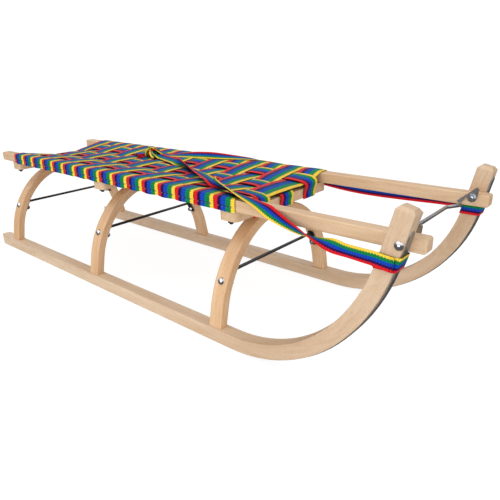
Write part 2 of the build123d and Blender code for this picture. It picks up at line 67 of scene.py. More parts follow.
# %% Camera
CAMERA_PLACE = Vector((0.7627, -0.6688, 0.4460))
HEADING, PITCH, ROLL = 0.71595, -0.370761, -0.0263925  # radians
LENS, SENSOR_WIDTH = 34.435, 36.0  # millimetres
NEAREST_SEEN = 0.01


def camera_axes(heading, pitch, roll):
    """Right, up and backward axes of the camera."""
    forward = Vector((-math.sin(heading) * math.cos(pitch),
                      math.cos(heading) * math.cos(pitch), math.sin(pitch)))
    level = Vector((math.cos(heading), math.sin(heading), 0.0))
    upright = level.cross(forward)
    right = math.cos(roll) * level + math.sin(roll) * upright
    up = math.cos(roll) * upright - math.sin(roll) * level
    return right, up, -forward


def add_object(name, data):
    """A new object in the scene."""
    added = bpy.data.objects.new(name, data)
    bpy.context.scene.collection.objects.link(added)
    return added


camera_data = bpy.data.cameras.new("camera")
camera_data.lens = LENS
camera_data.sensor_width = SENSOR_WIDTH
camera_data.clip_start = NEAREST_SEEN
camera = add_object("camera", camera_data)
turn = Matrix([list(axis) for axis in camera_axes(HEADING, PITCH, ROLL)]).transposed().to_4x4()
camera.matrix_world = Matrix.Translation(CAMERA_PLACE) @ turn
bpy.context.scene.camera = camera

# %% [markdown]
# ## Measures read from the solids
# Every strap is placed from the solids it lies on, so the corners of a few of them are read first.

# %% Measures
RAIL_LOW, RAIL_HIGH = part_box("seat_rail_left")
RAIL_TOP_Z, RAIL_BOTTOM_Z = RAIL_HIGH[2], RAIL_LOW[2]
RAIL_OUTER_Y, RAIL_INNER_Y = RAIL_HIGH[1], RAIL_LOW[1]
STRAP_COUNT = 16
STRAPS_REAR_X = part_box("cross_strap_01")[0][0]
STRAP_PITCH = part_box("cross_strap_02")[0][0] - STRAPS_REAR_X
STRAP_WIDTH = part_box("cross_strap_01")[1][0] - STRAPS_REAR_X
LONG_STRAPS = ("left", "middle", "right")
LONG_BOXES = [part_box("long_strap_" + side) for side in LONG_STRAPS]
LONG_STRAP_Y = [(low[1] + high[1]) / 2 for low, high in LONG_BOXES]
LONG_WIDTH = LONG_BOXES[0][1][1] - LONG_BOXES[0][0][1]
WEBBING = 0.0016  # thickness of the seat webbing
CLEAR = 0.0003  # between the webbing and the wood under it
SEAT_SAG = 0.009  # of the middle of the seat, below the rails' tops
REAR_DROOP, FRONT_DROOP = 0.0095, 0.0065  # how much more the first and last straps hang
REAR_FADE, FRONT_FADE = 0.06, 0.035  # how far in from each end that droop dies away
WEAVE_LIFT = 0.0018  # of a strap over the seat's level, or under it
ON_RAIL_Z = RAIL_TOP_Z + CLEAR + WEBBING / 2
print("strap pitch", round(STRAP_PITCH, 4), "width", round(STRAP_WIDTH, 4))


def seat_level(x, y):
    """Middle of the woven thickness, hanging between the rails."""
    from_rear = max(0.0, x - STRAPS_REAR_X)
    from_front = max(0.0, STRAPS_REAR_X + STRAP_COUNT * STRAP_PITCH - x)
    sag = (SEAT_SAG + REAR_DROOP * math.exp(-from_rear / REAR_FADE)
           + FRONT_DROOP * math.exp(-from_front / FRONT_FADE))
    across = min(1.0, abs(y) / RAIL_INNER_Y)
    return ON_RAIL_Z - sag * (1 - across ** 2)


# %% [markdown]
# ## Helpers for bands
# A strap is a long flat grid. `bmesh.ops.create_grid` makes it with UVs, its points are then moved
# onto the strap's line, and a Solidify modifier gives it its thickness. U is the length
# along the strap in metres and V goes from the yellow edge to the red one, which keeps the
# woven stripes on the cloth however it bends.

# %% Band helpers
SOFT_EDGE = 0.0004  # radius of a strap's rounded edge


def finished_mesh(bm, name):
    """Turns a bmesh into a mesh."""
    mesh = bpy.data.meshes.new(name)
    bm.to_mesh(mesh)
    bm.free()
    return mesh


def new_piece(name, bm, material, slot, replaces=()):
    """Adds a finished bmesh to the sled as one piece."""
    mesh = finished_mesh(bm, name)
    piece = add_object(name, mesh)
    mesh.materials.append(material)
    for polygon in mesh.polygons:
        polygon.use_smooth = True
    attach(piece, BODY)
    if replaces:
        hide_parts(*replaces)
    return piece


def add_band(bm, reach, steps_across, place, flip=False):
    """Adds a grid to bm; place(k, across) puts its points, k along it and across from 0 to 1."""
    last = len(reach) - 1
    uv = bm.loops.layers.uv.get("UVMap") or bm.loops.layers.uv.new("UVMap")
    verts = bmesh.ops.create_grid(bm, x_segments=last, y_segments=steps_across, size=0.5)["verts"]
    faces = {face for vert in verts for face in vert.link_faces}
    for face in faces:
        for loop in face.loops:
            loop[uv].uv = (reach[round((loop.vert.co.x + 0.5) * last)], loop.vert.co.y + 0.5)
    for vert in verts:
        vert.co = place(round((vert.co.x + 0.5) * last), vert.co.y + 0.5)
    if flip:
        bmesh.ops.reverse_faces(bm, faces=list(faces))


def thicken(piece, thickness, soft_edge=SOFT_EDGE):
    """Gives a band its thickness, evenly to both sides, and soft edges."""
    solid = piece.modifiers.new("thickness", "SOLIDIFY")
    solid.thickness = thickness
    solid.offset = 0.0
    edge = piece.modifiers.new("soft edge", "BEVEL")
    edge.width = soft_edge
    edge.segments = 2
    edge.limit_method = "ANGLE"
    edge.angle_limit = math.radians(60)


def new_strap(name, reach, rows, place, thickness, *about):
    """Adds one strap, a band with its thickness, as a piece."""
    bm = bmesh.new()
    add_band(bm, reach, rows, place)
    piece = new_piece(name, bm, *about)
    thicken(piece, thickness)
    return piece


def lengths_along(points):
    """Distance of each point from the first, along the line."""
    total = [0.0]
    for before, here in zip(points, points[1:]):
        total.append(total[-1] + (here - before).length)
    return total


def arc(x, y, radius, angles):
    """Points (x, y) on a circle at the given angles in degrees."""
    return [(x + radius * math.cos(math.radians(a)), y + radius * math.sin(math.radians(a)))
            for a in angles]


def eased(share):
    """A share from 0 to 1 that sets off and arrives gently."""
    return share * share * (3 - 2 * share)


def within(value):
    """The value, kept between 0 and 1."""
    return max(0.0, min(1.0, value))


def middling(across):
    """1 in the middle of a strap's width and 0 at its edges."""
    return 1 - (2 * across - 1) ** 2


def add_stitch(bm, place, along, normal, length, thickness):
    """Adds one stitch of thread, a small bead drawn out along the seam."""
    side = normal.cross(along)
    turned = Matrix((along, side, normal)).transposed().to_4x4()
    size = Matrix.Diagonal((length / 2, thickness / 2, thickness / 2, 1))
    set_down = Matrix.Translation(place) @ turned @ size
    bmesh.ops.create_icosphere(bm, subdivisions=1, radius=1.0, matrix=set_down)


# %% [markdown]
# ## Node helpers
# Three effects are used by more than one material, so each is a shader node group: the weave of
# the striped webbing, the way the fibres of bent wood turn, and the grain of the beech. Small
# helpers keep the node lists short.

# %% Node helpers
def srgb(red, green, blue):
    """A colour as seen, 0 to 255, turned into the linear colour that a shader wants."""
    seen = (red / 255, green / 255, blue / 255)
    linear = [v / 12.92 if v <= 0.04045 else ((v + 0.055) / 1.055) ** 2.4 for v in seen]
    return (*linear, 1.0)


def feed(tree, target, inputs):
    """Links or sets a node's inputs, given as {name or number: socket or value}."""
    for key, value in inputs.items():
        if isinstance(value, bpy.types.NodeSocket):
            tree.links.new(value, target.inputs[key])
        else:
            target.inputs[key].default_value = value


def node(tree, kind, inputs=(), **settings):
    """Adds a node, sets it and feeds its inputs."""
    new = tree.nodes.new(kind)
    for key, value in settings.items():
        setattr(new, key, value)
    feed(tree, new, dict(inputs))
    return new


def first_output(tree, kind, inputs=(), **settings):
    """Adds a node and gives its first output."""
    return node(tree, kind, inputs, **settings).outputs[0]


def maths(tree, operation, first, second=0.0, third=0.0):
    """One Math node's output."""
    return first_output(tree, "ShaderNodeMath", {0: first, 1: second, 2: third},
                        operation=operation)


def map_range(tree, value, low, high, to_low=0.0, to_high=1.0):
    """The value taken from low..high to to_low..to_high, and kept there."""
    return first_output(tree, "ShaderNodeMapRange",
                        {0: value, 1: low, 2: high, 3: to_low, 4: to_high})


def axes(tree, place):
    """The sockets of a place's x, y and z."""
    return node(tree, "ShaderNodeSeparateXYZ", {0: place}).outputs


def noise(tree, place, scale, detail=2.0, roughness=0.5):
    """A noise texture's value."""
    return first_output(tree, "ShaderNodeTexNoise", {
        "Vector": place, "Scale": scale, "Detail": detail, "Roughness": roughness})


def blend_colour(tree, factor, first, second, kind="MIX"):
    """One colour Mix node's output."""
    made = node(tree, "ShaderNodeMix", {0: factor, 6: first, 7: second},
                data_type="RGBA", blend_type=kind)
    return made.outputs[2]


FLOAT, COLOUR, VECTOR = "NodeSocketFloat", "NodeSocketColor", "NodeSocketVector"


def new_group(name, inputs, outputs):
    """An empty shader group with its sockets, what it is given, and its output node."""
    group = bpy.data.node_groups.new(name, "ShaderNodeTree")
    for socket, kind, value in inputs:
        made = group.interface.new_socket(socket, in_out="INPUT", socket_type=kind)
        if value is not None:
            made.default_value = value
    for socket, kind in outputs:
        group.interface.new_socket(socket, in_out="OUTPUT", socket_type=kind)
    given = group.nodes.new("NodeGroupInput").outputs
    return group, given, group.nodes.new("NodeGroupOutput")


def new_material(name):
    """A material, its node tree and its Principled shader."""
    material = bpy.data.materials.new(name)
    material.use_nodes = True
    return material, material.node_tree, material.node_tree.nodes["Principled BSDF"]


# %% [markdown]
# ## Striped webbing
# The webbing has five lengthwise stripes, and its cross threads make rounded ribs. The stripes'
# borders step a little to and fro from rib to rib, as interlaced yarns do. The ribs and the
# lengthwise yarns also make the height for the bump, and paint shade into the valleys between them.

# %% Webbing group
YELLOW = srgb(255, 214, 66)
GREEN = srgb(0, 132, 66)
BLUE = srgb(4, 68, 186)
NAVY = srgb(44, 0, 76)
RED = srgb(224, 24, 30)
STRIPES = ((0.0, YELLOW), (0.165, GREEN), (0.405, BLUE), (0.635, NAVY), (0.80, RED))
STRIPE_BORDER = 0.025  # half the share of the width in which two stripes meet
STRIPE_WANDER, WANDER_SCALE = 0.02, 30.0  # how far a border strays from its line
PAINTED_VALLEY_SHADE, PAINTED_RIB_LIGHT = 0.5, 0.6  # painted shade: share of the colour left in a valley, and the painted light a rib adds back
FUZZ, FUZZ_SCALE = 0.2, 900.0  # unevenness of single fibres
VALLEY_ROUGHNESS, RIB_POLISH = 0.66, -0.12

webbing, given, result = new_group(
    "striped weave",
    (("Width", FLOAT, 0.046), ("Rib", FLOAT, 0.003), ("Yarn", FLOAT, 0.0022),
     ("Tooth", FLOAT, 0.0006)),
    (("Color", COLOUR), ("Height", FLOAT), ("Roughness", FLOAT)))
calc = partial(maths, webbing)


def ridges(count):
    """Rounded ridges from 0 to 1, one for each whole number of the count."""
    return maths(webbing, "ABSOLUTE",
                 maths(webbing, "SINE", maths(webbing, "MULTIPLY", count, math.pi)))


place_on_band = first_output(webbing, "ShaderNodeUVMap", uv_map="UVMap")
along, across, _ = axes(webbing, place_on_band)
rib_count = calc("DIVIDE", along, given["Rib"])
rib = ridges(rib_count)
every_other = calc("MODULO", calc("FLOOR", rib_count), 2.0)
tooth = calc("MULTIPLY", calc("SUBTRACT", every_other, 0.5),
             calc("DIVIDE", given["Tooth"], given["Width"]))
wander = calc("MULTIPLY_ADD", noise(webbing, place_on_band, WANDER_SCALE),
              STRIPE_WANDER, -STRIPE_WANDER / 2)
jagged = calc("ADD", calc("ADD", across, tooth), wander)
ramp = node(webbing, "ShaderNodeValToRGB", {0: jagged})
ramp.color_ramp.elements[0].color = STRIPES[0][1]
ramp.color_ramp.elements[1].color = STRIPES[-1][1]
for (start, colour), (_, before) in zip(STRIPES[1:], STRIPES):
    ramp.color_ramp.elements.new(start - STRIPE_BORDER).color = before
    ramp.color_ramp.elements.new(start + STRIPE_BORDER).color = colour
place_across = calc("MULTIPLY", across, given["Width"])
yarn = ridges(calc("DIVIDE", place_across, given["Yarn"]))
weave = calc("MULTIPLY", calc("SQRT", rib), calc("MULTIPLY_ADD", yarn, 0.5, 0.5))
fuzz = calc("MULTIPLY_ADD", noise(webbing, place_on_band, FUZZ_SCALE), FUZZ, -FUZZ / 2)
# painted shade in the valleys between the ribs and the yarns, with the fibres' own unevenness added
shade = calc("ADD", calc("MULTIPLY_ADD", weave, PAINTED_RIB_LIGHT, PAINTED_VALLEY_SHADE), fuzz)
feed(webbing, result, {
    "Color": first_output(webbing, "ShaderNodeHueSaturation",
                          {"Value": shade, "Color": ramp.outputs[0]}),
    "Height": weave,
    "Roughness": calc("MULTIPLY_ADD", weave, RIB_POLISH, VALLEY_ROUGHNESS)})

# %% [markdown]
# ## Webbing and thread materials
# Seen at a slant, the cloth gets a painted cool sheen and a little painted shade. Deep in the
# weave, painted shade darkens it. The thread is plain.

# %% Webbing materials
WEAVE_DEPTH, WEAVE_BUMP = 0.0005, 0.7
PAINTED_SHEEN_FROM, PAINTED_SHEEN_FULL = 0.45, 0.85  # the slants at which the painted sheen and its shade set in and are full
# painted shade and painted sheen: a tint that dims the colour at a slant, and a cool colour
# screened over it
PAINTED_SLANT_SHADE, PAINTED_SHEEN_COLOUR = (0.86, 0.80, 0.70, 1), srgb(30, 62, 74)
PAINTED_HOLLOW_REACH = 0.011  # painted shade: cloth nearer than this darkens the colour of a hollow
PAINTED_HOLLOW_SHUT, PAINTED_HOLLOW_OPEN, PAINTED_HOLLOW_SHADE = 0.3, 0.88, 0.03
CLOTH_SHINE = 0.12
THREAD_ROUGHNESS = 0.5


def webbing_material(name, width, rib, yarn, tooth, painted_sheen_share=0.8):
    """Cloth fed by the striped weave, with painted sheen and shade at a slant, and painted shade in
    its hollows.
    """
    material, tree, shader = new_material(name)
    values = {"Width": width, "Rib": rib, "Yarn": yarn, "Tooth": tooth}
    pattern = node(tree, "ShaderNodeGroup", values, node_tree=webbing).outputs
    bump = first_output(tree, "ShaderNodeBump", {
        "Height": pattern["Height"], "Strength": WEAVE_BUMP, "Distance": WEAVE_DEPTH})
    # painted sheen and painted shade, by how slanted the view of the cloth is
    slant = node(tree, "ShaderNodeLayerWeight", {"Blend": 0.5}).outputs["Facing"]
    painted_sheen = map_range(tree, slant, PAINTED_SHEEN_FROM, PAINTED_SHEEN_FULL)
    colour = blend_colour(tree, painted_sheen, pattern["Color"], PAINTED_SLANT_SHADE, "MULTIPLY")
    colour = blend_colour(tree, maths(tree, "MULTIPLY", painted_sheen, painted_sheen_share), colour, PAINTED_SHEEN_COLOUR, "SCREEN")
    # painted shade: the colour darkens where other cloth is near, in the weave and at the crossings
    hollow = node(tree, "ShaderNodeAmbientOcclusion", {"Distance": PAINTED_HOLLOW_REACH}, samples=6)
    shade = map_range(tree, hollow.outputs["AO"], PAINTED_HOLLOW_SHUT, PAINTED_HOLLOW_OPEN, PAINTED_HOLLOW_SHADE, 1.0)
    feed(tree, shader, {"Base Color": blend_colour(tree, 1.0, colour, shade, "MULTIPLY"),
                        "Roughness": pattern["Roughness"], "Normal": bump,
                        "Specular IOR Level": CLOTH_SHINE})
    return material


def thread_material(name, colour):
    """Plain sewing thread."""
    material, tree, shader = new_material(name)
    feed(tree, shader, {"Base Color": colour, "Roughness": THREAD_ROUGHNESS})
    return material


TOW_WIDTH = 0.020
SEAT_RIB, TOW_RIB = 0.0034, 0.0022  # from one rib of the weave to the next
SEAT_YARN, TOW_YARN = 0.0019, 0.0011
SEAT_TOOTH, TOW_TOOTH = 0.0006, 0.0009  # how far the stripes' borders jag
SEAT_WEBBING = webbing_material("seat webbing", STRAP_WIDTH, SEAT_RIB, SEAT_YARN, SEAT_TOOTH)
# the long straps get a stronger painted sheen
LONG_WEBBING = webbing_material("long seat webbing", LONG_WIDTH, SEAT_RIB, SEAT_YARN, SEAT_TOOTH,
                                painted_sheen_share=1.0)
TOW_WEBBING = webbing_material("tow webbing", TOW_WIDTH, TOW_RIB, TOW_YARN, TOW_TOOTH)
THREAD = thread_material("seam thread", srgb(120, 136, 184))
# the stitches at the tow strap's sewn ends are real, and their near-black colour also paints the
# shadow at the sewn end
DARK_THREAD_AND_SEAM_SHADE = thread_material("dark thread and seam shade", srgb(22, 20, 34))

# %% [markdown]
# ## Tow strap
# The tow strap is a narrow band of the same webbing. It leaves each horn on edge, twists as it
# comes back over the seat, and its two halves meet in a knot. Each half follows a smooth NURBS line
# whose control points are the strap's route, and turns about it by the angle given with each point.

# %% Tow routes: x, y, z in millimetres and the turn of the width in degrees, 0 standing upright
TOW_ROUTE_RIGHT = [
    (518.1, -159.7, 219.5, 0), (494, -154.7, 218, -5), (470, -151.1, 217.7, -7),
    (445.8, -148.5, 219.5, 65), (421.4, -146.7, 222.1, 108), (397.1, -145.2, 226.2, 148),
    (373.2, -143.2, 232.2, 165), (349.5, -141, 240, 194), (325.9, -137.4, 247.4, 255),
    (302, -132.8, 251.4, 271), (278.1, -127.7, 254.3, 284), (242.5, -117.6, 257.6, 308),
    (207.7, -104.5, 258.3, 330), (185.3, -93.9, 257.7, 362), (163.9, -81.8, 256.5, 451),
    (143.2, -68.8, 255.1, 452), (114.3, -51.2, 253.5, 452), (84.8, -34.9, 252.1, 464),
    (54.1, -19.5, 251.6, 478), (21.5, -3.7, 251.2, 498), (-12.1, 11.2, 251.1, 513),
    (-34.9, 20.2, 250.4, 545), (-58, 28.6, 249.6, 603), (-95.8, 42.9, 247.5, 606),
    (-138.7, 58.3, 245.6, 612)]
TOW_ROUTE_LEFT = [
    (524.7, 160.7, 219, 0), (501, 156, 220.5, 3), (464.5, 150, 220.8, 8),
    (415.5, 145.5, 219.5, -6), (366.5, 143, 218.5, -10), (317.5, 142, 219.5, -11),
    (268.5, 141.6, 223.5, -13), (219.5, 142.4, 229.5, -13), (183, 143.5, 235, -19),
    (146.5, 144, 240.5, -36), (123, 143, 244.4, -54), (99, 139.8, 248.2, -72),
    (76, 132.8, 250.8, -88), (53, 123.6, 252.2, -99), (18, 110.5, 253.6, -116),
    (-17.5, 101, 254.5, -130), (-65, 91.5, 252.8, -126), (-100.5, 85, 249.7, -110),
    (-138.7, 77.8, 246.4, -92)]
TOW_THICKNESS = 0.0016
TOW_STEPS = 56  # points along the line for each point of the route
TOW_ROWS = 8  # faces across the strap
TURN_BLEND = 0.012  # the turn is averaged over this far to both sides
TURN_SAMPLES = (-1.0, -0.6, -0.2, 0.2, 0.6, 1.0)
SCALLOP = 0.025  # share of the width that the edge loses between the ribs


# %% Tow strap
def spline_points(route, resolution):
    """Points along the NURBS line whose control points are the route."""
    curve = bpy.data.curves.new("line", "CURVE")
    curve.dimensions = "3D"
    spline = curve.splines.new("NURBS")
    spline.points.add(len(route) - 1)
    for point, (x, y, z, *_) in zip(spline.points, route):
        point.co = (x / 1000, y / 1000, z / 1000, 1.0)
    spline.order_u = 3
    spline.use_endpoint_u = True
    spline.resolution_u = resolution
    holder = bpy.data.objects.new("line", curve)
    mesh = bpy.data.meshes.new_from_object(holder)
    points = [v.co.copy() for v in mesh.vertices]
    bpy.data.objects.remove(holder)
    bpy.data.meshes.remove(mesh)
    return points


def interpolate(x, xs, ys):
    """Straight interpolation of ys over rising xs."""
    for k in range(1, len(xs)):
        if x <= xs[k]:
            share = (x - xs[k - 1]) / max(1e-9, xs[k] - xs[k - 1])
            return ys[k - 1] + (ys[k] - ys[k - 1]) * max(0.0, share)
    return ys[-1]


def turns_along(points, reach, route):
    """The strap's turn at each point, in radians, with its changes smoothed."""
    marks, turns = [], []
    for x, y, z, turn_here in route:
        mark = Vector((x, y, z)) / 1000
        nearest = min(range(len(points)), key=lambda k: (points[k] - mark).length)
        if not marks or reach[nearest] > marks[-1]:
            marks.append(reach[nearest])
            turns.append(math.radians(turn_here))
    return [sum(interpolate(s + TURN_BLEND * k, marks, turns) for k in TURN_SAMPLES)
            / len(TURN_SAMPLES) for s in reach]


def directions(points):
    """Unit direction of the line at each point."""
    last = len(points) - 1
    return [(points[min(k + 1, last)] - points[max(k - 1, 0)]).normalized()
            for k in range(last + 1)]


def strap_frames(points, turns):
    """Each point of the line with the direction of the strap's width there."""
    frames = []
    for here, forward, turn in zip(points, directions(points), turns):
        side = forward.cross(Vector((0, 0, 1))).normalized()
        frames.append((here, side.cross(forward) * math.cos(turn) + side * math.sin(turn)))
    return frames


def scalloped(reach_here):
    """Share of the full width at a place along the strap: its edge dips between the ribs."""
    return 1 - SCALLOP * (1 - abs(math.sin(math.pi * reach_here / TOW_RIB)))


def tow_half(name, route, replaced):
    """One half of the tow strap, from its horn to the knot."""
    points = spline_points(route, TOW_STEPS)
    reach = lengths_along(points)
    frames = strap_frames(points, turns_along(points, reach, route))

    def place(k, across):
        here, width_way = frames[k]
        return here + width_way * (0.5 - across) * TOW_WIDTH * scalloped(reach[k])

    piece = new_strap(name, reach, TOW_ROWS, place, TOW_THICKNESS,
                      TOW_WEBBING, "tow_webbing", [replaced])
    print(name, "length", round(reach[-1], 4), "points", len(points))
    return piece, points, frames


tow_right, right_line, right_frames = tow_half("tow_strap_right", TOW_ROUTE_RIGHT, "tow_run_right")
tow_left, left_line, left_frames = tow_half("tow_strap_left", TOW_ROUTE_LEFT, "tow_run_left")

# %% [markdown]
# ## Knot
# The strap's middle is tied in a loose bundle. Each half goes on into the bundle and comes out of
# its rear in a small bight, one more band loops over both, and three turns are wrapped round them.
# Every band of the knot follows a smooth line. Its frame is carried along that line without
# twisting, and its section is rolled up.

# %% Knot routes, in millimetres
KNOT_STEPS, KNOT_ROWS = 20, 10
KNOT_LEVEL = 249.5  # middle height of the bundle


def small_loop(centre, along, radius, angles):
    """Points of an upright loop whose plane holds the direction along and the vertical."""
    return [(centre[0] + along[0] * out, centre[1] + along[1] * out, z)
            for out, z in arc(0.0, centre[2], radius, angles)]


def wrap_route(x, y, slant, wide, tall):
    """Line of a turn round the bundle, starting and ending inside it."""
    inside = KNOT_LEVEL - 1.5
    angles = [math.radians(a) for a in range(-60, 301, 30)]
    turn = [(x + slant * math.cos(a), y + wide * math.cos(a), KNOT_LEVEL + tall * math.sin(a))
            for a in angles]
    return [(x, y + 3, inside)] + turn + [(x - slant, y - 3, inside)]


BIGHT_RIGHT = ([(-138.7, 58.3, 245.6), (-149, 59, 247.5), (-161, 57, 249), (-175, 53, 249.5),
                (-188, 48, 250), (-200, 45, 250.5)]
               + small_loop((-208, 40, 246.8), (0.61, 0.79), 3.6, (100, 150, 200, 250, 300))
               + [(-199, 48, 244.6), (-186, 55, 245), (-174, 59, 246)])
BIGHT_LEFT = ([(-138.7, 77.8, 246.4), (-148, 76, 249), (-158, 72, 252.5), (-169, 67, 254.5),
               (-181, 63, 256)]
              + small_loop((-192, 66, 253), (0.75, -0.66), 4.0, (70, 120, 170, 220, 270, 320))
              + [(-183, 56, 250), (-173, 52, 247)])
OVERHAND = [(-152, 47, 246), (-158, 48, 250), (-165, 54, 255), (-174, 62, 257), (-186, 70, 255),
            (-197, 75, 251), (-206, 70, 247), (-203, 60, 246), (-192, 54, 246)]
# Each turn's middle (x, y), slant, half width, half height, and which way its width first points.
WRAPS = ((-166, 63, 7, 11, 6, 1), (-180, 57, -9, 11, 6.5, 1), (-173, 60, 2, 12, 7, -1))
WRAP_ROLL = 200


# %% Knot
def carried_widths(points, first):
    """Directions of the width, carried along the line without twisting, and of the line."""
    ahead = directions(points)
    carried = [first]
    for before, here in zip(ahead, ahead[1:]):
        turned = before.rotation_difference(here) @ carried[-1]
        carried.append((turned - here * turned.dot(here)).normalized())
    return carried, ahead


def add_knot_band(bm, route, first, roll_start, roll_end, twist=0.0):
    """A band along a line of the knot, its section rolled up and turned by angles in degrees."""
    points = spline_points(route, KNOT_STEPS)
    reach = lengths_along(points)
    widths, ahead = carried_widths(points, first)
    last = len(points) - 1

    def place(k, across):
        share = min(1.0, 2.6 * k / last)  # rolled up well before the line's end
        roll = math.radians(roll_start + (roll_end - roll_start) * share)
        radius = TOW_WIDTH / roll
        angle = (0.5 - across) * roll
        turn = math.radians(twist) * eased(share)
        wide = widths[k] * math.cos(turn) + ahead[k].cross(widths[k]) * math.sin(turn)
        outwards = ahead[k].cross(wide)
        return (points[k] + wide * radius * math.sin(angle)
                - outwards * radius * (1 - math.cos(angle)))

    add_band(bm, reach, KNOT_ROWS, place)


bm = bmesh.new()
add_knot_band(bm, BIGHT_RIGHT, right_frames[-1][1], 3, -60, 180)
add_knot_band(bm, BIGHT_LEFT, left_frames[-1][1], 3, 110, 100)
add_knot_band(bm, OVERHAND, Vector((0.7, -0.7, 0)), 150, 170)
for *turn, way in WRAPS:
    add_knot_band(bm, wrap_route(*turn), Vector((way, 0, 0)), WRAP_ROLL, WRAP_ROLL)
knot = new_piece("knot", bm, TOW_WEBBING, "tow_webbing", ["tow_knot"])
thicken(knot, TOW_THICKNESS)
for piece, line, pieces in ((tow_right, right_line, [knot]), (tow_left, left_line, [])):
    tuple(line[0])
    round(lengths_along(line)[-1], 4)
    [tuple(p) for p in line[::3]]
    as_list(pieces)

# %% [markdown]
# ## Loops round the horns
# Each end of the strap goes round its horn and is sewn to itself on the outer face. The horn's
# section is read from its solid at a few heights, and the loop follows it with rounded corners.

# %% Loops
SHOE_THICKNESS = 0.0016
HORNS_FROM_X = 0.4  # every horn is further forward than this
LOOP_CORNER = 0.0022  # radius of the strap's fold over the horn's edges
CORNER_STEPS, SIDE_STEPS = 6, 14
LOOP_ROWS = 8
LOOP_SOFT_EDGE = 0.0003
OVERLAP_STEPS = 24
RIBS_AHEAD = 20  # whole ribs, so that the count stays above nought
SEAM_X = {"right": 0.5475, "left": 0.5545}  # where the strap's sewn end stops
SEAM_ROWS = (0.0012, 0.0042)  # rows of stitches, measured back from there
SEAM_STITCHES = 9
LOOP_NEST = 0.0008  # the overlap starts this far behind the free strap's first point
LOOP_STITCH_LENGTH, LOOP_STITCH_WIDTH = 0.0016, 0.0007


def horn_section(side, z):
    """Rear and front x, and inner and outer distance from the middle, of a horn at a height."""
    bm = bmesh.new()
    bm.from_mesh(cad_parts["runner_" + side].data)
    geometry = bm.verts[:] + bm.edges[:] + bm.faces[:]
    cut = bmesh.ops.bisect_plane(bm, geom=geometry, plane_co=(0, 0, z), plane_no=(0, 0, 1))
    places = [item.co.copy() for item in cut["geom_cut"]
              if isinstance(item, bmesh.types.BMVert) and item.co.x > HORNS_FROM_X]
    bm.free()
    xs, ys = [p.x for p in places], [abs(p.y) for p in places]
    return min(xs), max(xs) + SHOE_THICKNESS, min(ys), max(ys)


def straight(first, second, steps):
    """Points between two places, both ends left out."""
    return [(first[0] + (second[0] - first[0]) * k / steps,
             first[1] + (second[1] - first[1]) * k / steps) for k in range(1, steps)]


def loop_line(section, gap):
    """Closed line (x, y) round a horn's section, from the seam over the front and inner side."""
    rear, front, inner, outer = section
    low_x, high_x = rear - gap + LOOP_CORNER, front + gap - LOOP_CORNER
    low_y, high_y = inner - gap + LOOP_CORNER, outer + gap - LOOP_CORNER
    line = []
    for x, y, start in ((high_x, high_y, 90), (high_x, low_y, 0),
                        (low_x, low_y, -90), (low_x, high_y, -180)):
        angles = [start - 90 * k / CORNER_STEPS for k in range(CORNER_STEPS + 1)]
        corner = arc(x, y, LOOP_CORNER, angles)
        if line:
            line += straight(line[-1], corner[0], SIDE_STEPS)
        line += corner
    return line + straight(line[-1], line[0], SIDE_STEPS) + [line[0]]


def tow_loop(side, frames):
    """The loop round one horn, with the strap's end sewn over it."""
    out = 1 if side == "left" else -1
    seam_x = SEAM_X[side]
    low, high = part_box("tow_loop_" + side)
    levels = [high[2] + (low[2] - high[2]) * k / LOOP_ROWS for k in range(LOOP_ROWS + 1)]
    gap = CLEAR + TOW_THICKNESS / 2
    rings = [loop_line(horn_section(side, z), gap) for z in levels]
    reach = lengths_along([Vector((x, y, 0)) for x, y in rings[LOOP_ROWS // 2]])

    def round_horn(k, across):
        row = round(across * LOOP_ROWS)
        x, y = rings[row][k]
        return Vector((x, out * y, levels[row]))

    bm = bmesh.new()
    add_band(bm, reach, LOOP_ROWS, round_horn, flip=side == "right")
    start, width_way = frames[0]
    start = start - Vector((LOOP_NEST, 0, 0))
    outer = [horn_section(side, z)[3] + gap + TOW_THICKNESS + 0.0002 for z in levels]
    end = [Vector((seam_x, out * y, z)) for y, z in zip(outer, levels)]
    # The free strap's ribs are counted from its first point, so these are counted back from there.
    over = [RIBS_AHEAD * TOW_RIB - (seam_x - start.x) * k / OVERLAP_STEPS
            for k in range(OVERLAP_STEPS + 1)]

    def over_loop(k, across):
        share = k / OVERLAP_STEPS
        row = round(across * LOOP_ROWS)
        begin = start + width_way * (0.5 - across) * TOW_WIDTH
        here = begin.lerp(end[row], eased(share))
        here.x = start.x + (seam_x - start.x) * share
        here.y = begin.y + (end[row].y - begin.y) * min(1.0, 3 * share)
        return here

    add_band(bm, over, LOOP_ROWS, over_loop, flip=side == "right")
    loop = new_piece("tow_loop_" + side + "_webbing", bm, TOW_WEBBING, "tow_webbing",
                     ["tow_loop_" + side])
    thicken(loop, TOW_THICKNESS, LOOP_SOFT_EDGE)
    bm = bmesh.new()
    for back in SEAM_ROWS:
        for k in range(SEAM_STITCHES):
            across = (k + 0.5) / SEAM_STITCHES
            y = out * (outer[round(across * LOOP_ROWS)] + TOW_THICKNESS / 2)
            place = Vector((seam_x - back, y, levels[0] + (levels[-1] - levels[0]) * across))
            add_stitch(bm, place, Vector((0, 0, 1)), Vector((0, out, 0)),
                       LOOP_STITCH_LENGTH, LOOP_STITCH_WIDTH)
    # near-black stitches, which also paint the shadow at the sewn end
    new_piece("tow_seam_" + side, bm, DARK_THREAD_AND_SEAM_SHADE, "tow_webbing")


tow_loop("right", right_frames)
tow_loop("left", left_frames)

# %% [markdown]
# ## Woven seat
# Sixteen straps run across and wrap both rails, and three run along. Each strap goes over one and
# under the next, so their heights follow a flattened wave that changes sign from crossing to
# crossing. The cross strap is over where the row and the column add up to an even number.

# %% Weave
WAVE_HARDNESS = 1.6  # how broad the tops of the wave are
CROWN = 0.0008  # rise of a strap's middle over its edges, where it lies on top
SEAT_ROWS = 10  # faces across a seat strap


